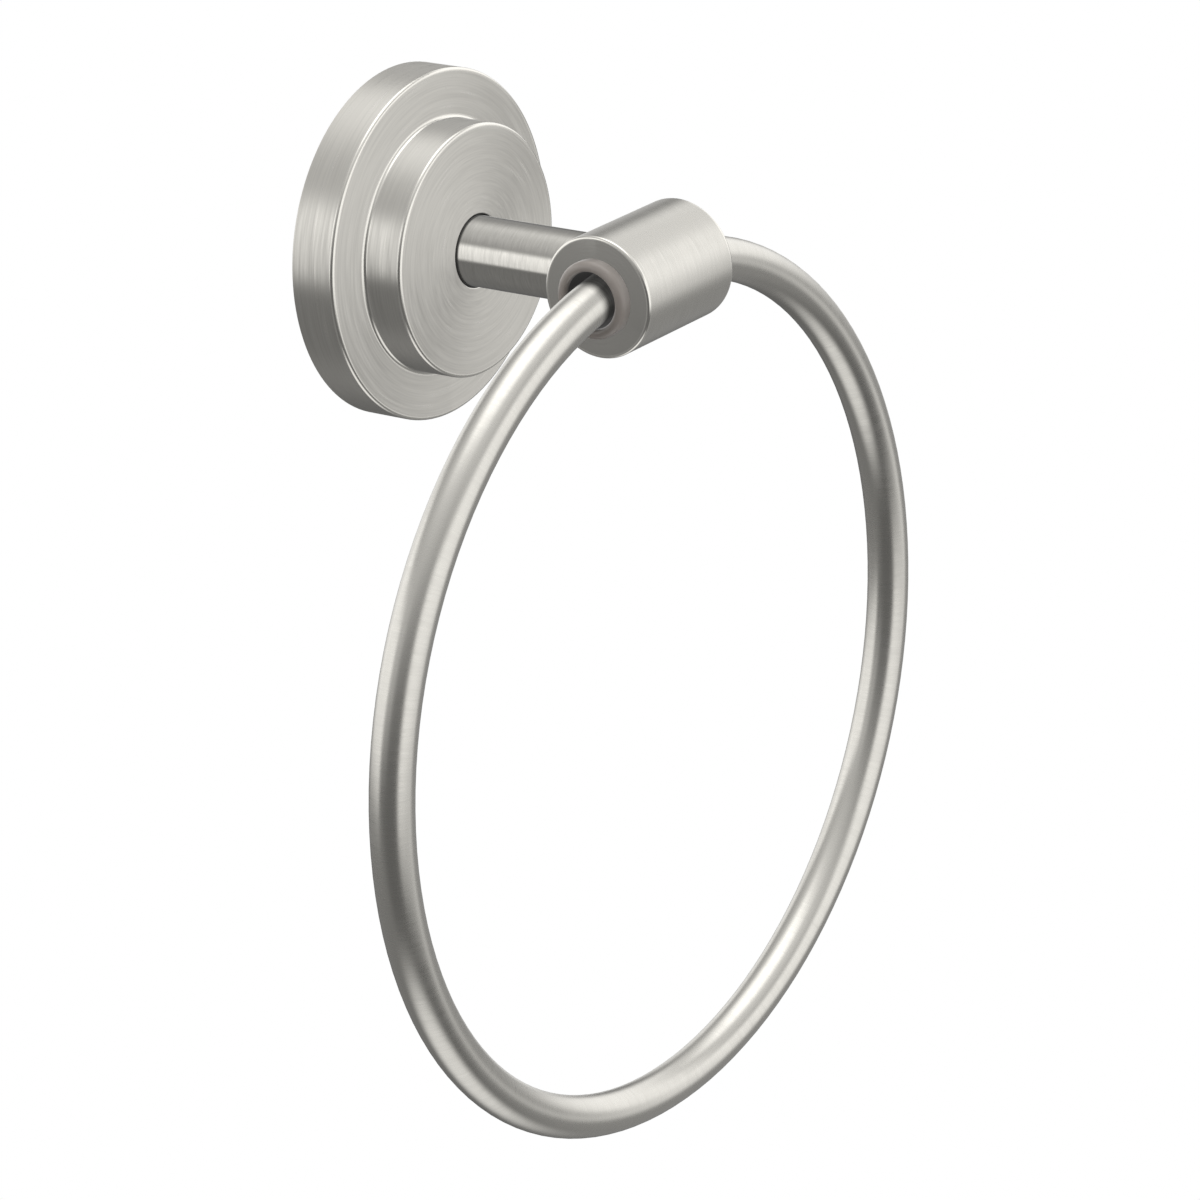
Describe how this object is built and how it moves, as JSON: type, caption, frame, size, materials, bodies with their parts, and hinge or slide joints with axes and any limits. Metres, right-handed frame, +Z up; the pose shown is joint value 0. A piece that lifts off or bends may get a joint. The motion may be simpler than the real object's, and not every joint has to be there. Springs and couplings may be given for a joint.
{
  "type": "towel ring",
  "caption": "Wall-mounted towel ring: a large round ring that swings in a bushed cross cylinder, carried by a straight post on a stepped round flange.",
  "frame": {"origin": "on the wall plane, where the axis of the post meets it: the centre of the back of the round flange", "axes": "+X to the right seen from the room, +Y into the wall, +Z up; the ring hangs towards -Z"},
  "size_m": [0.168, 0.0643, 0.1956],
  "materials": {
    "turned_nickel": "brushed nickel, lathe-turned",
    "brushed_nickel": "brushed nickel, lines around the cylinder",
    "nickel_bar": "brushed nickel, lines around the bar",
    "taupe_plastic": "glossy moulded plastic",
    "plain_zinc": "plain cast",
    "zinc_plated_steel": "bright zinc plated",
    "dark_steel": "black oxide"
  },
  "bodies": {
    "wall_mount": {"wall_flange": "turned_nickel", "wall_bracket": "plain_zinc", "post": "brushed_nickel", "ring_holder": "brushed_nickel", "bush_left": "taupe_plastic", "bush_right": "taupe_plastic", "post_bolt": "zinc_plated_steel", "lock_washer": "zinc_plated_steel", "set_screw": "dark_steel"},
    "swing_ring": {"ring": "nickel_bar"}
  },
  "joints": [
    {"name": "ring_swing", "type": "hinge", "parent": "wall_mount", "child": "swing_ring", "pos_m": [0, -0.0531, 0], "axis": [-1, 0, 0], "range_deg": [-17.8, 197.8]}
  ]
}
